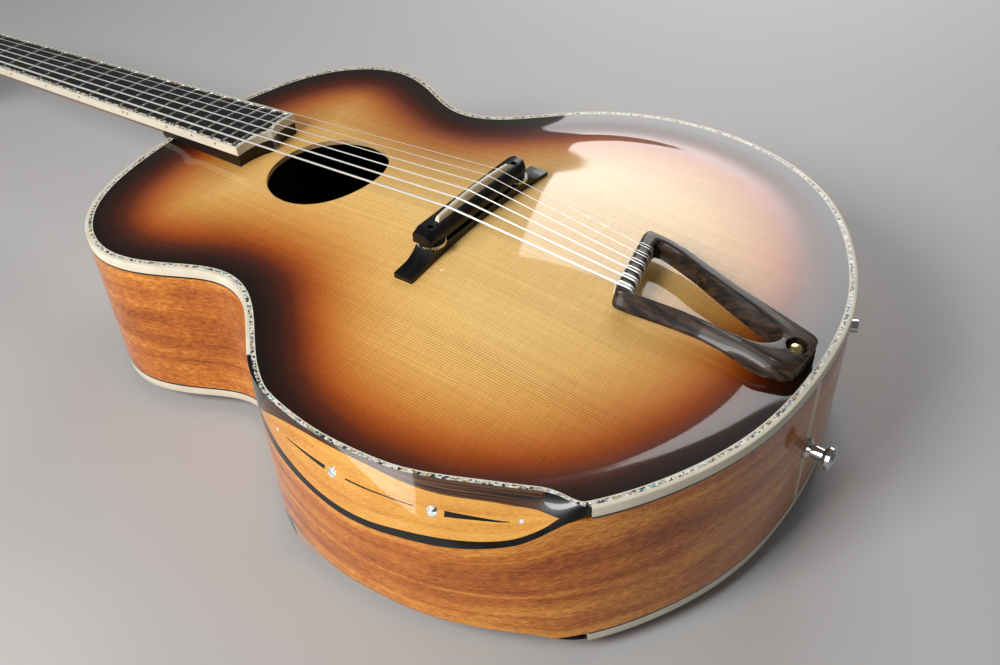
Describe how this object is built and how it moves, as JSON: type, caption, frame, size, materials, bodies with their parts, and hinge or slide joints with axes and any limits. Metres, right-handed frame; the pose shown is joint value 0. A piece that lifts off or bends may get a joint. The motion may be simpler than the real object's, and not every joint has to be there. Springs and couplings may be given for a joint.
{
  "type": "archtop guitar",
  "caption": "Acoustic archtop guitar with carved sunburst top, round sound hole, floating bridge, carved wooden tailpiece, inlaid arm bevel and geared tuners.",
  "frame": {"origin": "on the centre line below the saddle, in the plane that the back rests on", "axes": "+Z out of the soundboard, +Y along the neck to the head, +X to the treble side"},
  "size_m": [0.4146, 1.0629, 0.1648],
  "materials": {
    "spruce_top": "gloss sunburst lacquer over straight-grained softwood",
    "spruce_inner": "bare sanded softwood",
    "lining_wood": "bare sanded wood",
    "side_wood": "gloss lacquer over ribbon-striped hardwood",
    "strip_wood": "gloss lacquer",
    "cream_binding": "gloss",
    "black_fibre": "gloss",
    "abalone": "polished shell",
    "pearl": "polished shell",
    "dark_rosewood": "gloss lacquer",
    "bevel_wood": "gloss lacquer",
    "ebony": "satin polish",
    "neck_wood": "gloss lacquer",
    "fret_nickel": "polished",
    "bone": "polished",
    "tail_wood": "satin polish over dark striped wood",
    "brass": "polished",
    "steel": "plain",
    "chrome": "polished",
    "string_steel": "drawn wire",
    "pickup_black": "matte"
  },
  "bodies": {
    "guitar": {"top_plate": "spruce_top", "tone_bars": "spruce_inner", "linings": "lining_wood", "neck_block": "lining_wood", "tail_block": "lining_wood", "back_plate": "side_wood", "bass_side": "side_wood", "treble_side": "side_wood", "tail_strip": "strip_wood", "top_binding": "cream_binding", "back_binding": "cream_binding", "fingerboard_binding": "cream_binding", "binding_lines": "black_fibre", "top_purfling": "abalone", "fingerboard_purfling": "abalone", "bevel_cores": "lining_wood", "arm_bevel_band": "dark_rosewood", "arm_bevel_lines": "ebony", "arm_bevel_dots": "pearl", "bevel_fields": "bevel_wood", "bevel_edging": "ebony", "fingerboard": "ebony", "fingerboard_riser": "ebony", "head_plate": "ebony", "truss_rod_cover": "ebony", "bridge_base": "ebony", "side_dots": "black_fibre", "frets": "fret_nickel", "neck": "neck_wood", "nut": "bone", "tailpiece": "tail_wood", "tailpiece_foot": "ebony", "tailpiece_screw": "brass", "truss_rod": "steel", "bridge_posts": "steel", "plain_strings": "string_steel", "wound_strings": "string_steel", "strap_button": "chrome", "output_jack": "chrome", "pickup": "pickup_black", "tuner_housings": "chrome", "tuner_bushings": "chrome", "head_screws": "chrome"},
    "bridge_top": {"bridge_top": "ebony", "saddle": "bone"},
    "wheel_bass": {"thumbwheel_bass": "chrome"},
    "wheel_treble": {"thumbwheel_treble": "chrome"},
    "rod_nut": {"truss_rod_nut": "brass"},
    "post_1": {"tuner_post_1": "chrome"},
    "key_1": {"tuner_key_1": "chrome"},
    "post_2": {"tuner_post_2": "chrome"},
    "key_2": {"tuner_key_2": "chrome"},
    "post_3": {"tuner_post_3": "chrome"},
    "key_3": {"tuner_key_3": "chrome"},
    "post_4": {"tuner_post_4": "chrome"},
    "key_4": {"tuner_key_4": "chrome"},
    "post_5": {"tuner_post_5": "chrome"},
    "key_5": {"tuner_key_5": "chrome"},
    "post_6": {"tuner_post_6": "chrome"},
    "key_6": {"tuner_key_6": "chrome"}
  },
  "joints": [
    {"name": "bridge_lift", "type": "slide", "parent": "guitar", "child": "bridge_top", "axis": [0, 0, 1], "range_m": [0, 0.0021], "deforming": ["plain_strings", "wound_strings"]},
    {"name": "wheel_bass_spin", "type": "hinge", "parent": "bridge_top", "child": "wheel_bass", "pos_m": [-0.044, 0, 0.14645], "axis": [0, 0, 1], "range_deg": [0, 1085]},
    {"name": "wheel_treble_spin", "type": "hinge", "parent": "bridge_top", "child": "wheel_treble", "pos_m": [0.044, 0, 0.14645], "axis": [0, 0, 1], "range_deg": [0, 1085]},
    {"name": "key_1_turn", "type": "hinge", "parent": "guitar", "child": "key_1", "pos_m": [-0.023, 0.67668, 0.06961], "axis": [-1, 0, 0], "continuous": true},
    {"name": "post_1_turn", "type": "hinge", "parent": "guitar", "child": "post_1", "pos_m": [-0.023, 0.67255, 0.0779], "axis": [0, 0.3098, 0.9508], "continuous": true},
    {"name": "key_2_turn", "type": "hinge", "parent": "guitar", "child": "key_2", "pos_m": [-0.023, 0.71471, 0.05721], "axis": [-1, 0, 0], "continuous": true},
    {"name": "post_2_turn", "type": "hinge", "parent": "guitar", "child": "post_2", "pos_m": [-0.023, 0.71058, 0.0655], "axis": [0, 0.3098, 0.9508], "continuous": true},
    {"name": "key_3_turn", "type": "hinge", "parent": "guitar", "child": "key_3", "pos_m": [-0.023, 0.75274, 0.04482], "axis": [-1, 0, 0], "continuous": true},
    {"name": "post_3_turn", "type": "hinge", "parent": "guitar", "child": "post_3", "pos_m": [-0.023, 0.74861, 0.05311], "axis": [0, 0.3098, 0.9508], "continuous": true},
    {"name": "key_4_turn", "type": "hinge", "parent": "guitar", "child": "key_4", "pos_m": [0.023, 0.67668, 0.06961], "axis": [1, 0, 0], "continuous": true},
    {"name": "post_4_turn", "type": "hinge", "parent": "guitar", "child": "post_4", "pos_m": [0.023, 0.67255, 0.0779], "axis": [0, 0.3098, 0.9508], "continuous": true},
    {"name": "key_5_turn", "type": "hinge", "parent": "guitar", "child": "key_5", "pos_m": [0.023, 0.71471, 0.05721], "axis": [1, 0, 0], "continuous": true},
    {"name": "post_5_turn", "type": "hinge", "parent": "guitar", "child": "post_5", "pos_m": [0.023, 0.71058, 0.0655], "axis": [0, 0.3098, 0.9508], "continuous": true},
    {"name": "key_6_turn", "type": "hinge", "parent": "guitar", "child": "key_6", "pos_m": [0.023, 0.75274, 0.04482], "axis": [1, 0, 0], "continuous": true},
    {"name": "post_6_turn", "type": "hinge", "parent": "guitar", "child": "post_6", "pos_m": [0.023, 0.74861, 0.05311], "axis": [0, 0.3098, 0.9508], "continuous": true},
    {"name": "rod_nut_turn", "type": "hinge", "parent": "guitar", "child": "rod_nut", "pos_m": [0, 0.6385, 0.0982], "axis": [0, 0.9975, -0.0706], "range_deg": [-180, 180]}
  ],
  "couplings": [
    {"joint": "wheel_bass_spin", "follows": "bridge_lift", "rad_per_m": 8976},
    {"joint": "wheel_treble_spin", "follows": "bridge_lift", "rad_per_m": 8976},
    {"joint": "post_1_turn", "follows": "key_1_turn", "ratio": 0.0625},
    {"joint": "post_2_turn", "follows": "key_2_turn", "ratio": 0.0625},
    {"joint": "post_3_turn", "follows": "key_3_turn", "ratio": 0.0625},
    {"joint": "post_4_turn", "follows": "key_4_turn", "ratio": 0.0625},
    {"joint": "post_5_turn", "follows": "key_5_turn", "ratio": 0.0625},
    {"joint": "post_6_turn", "follows": "key_6_turn", "ratio": 0.0625}
  ]
}
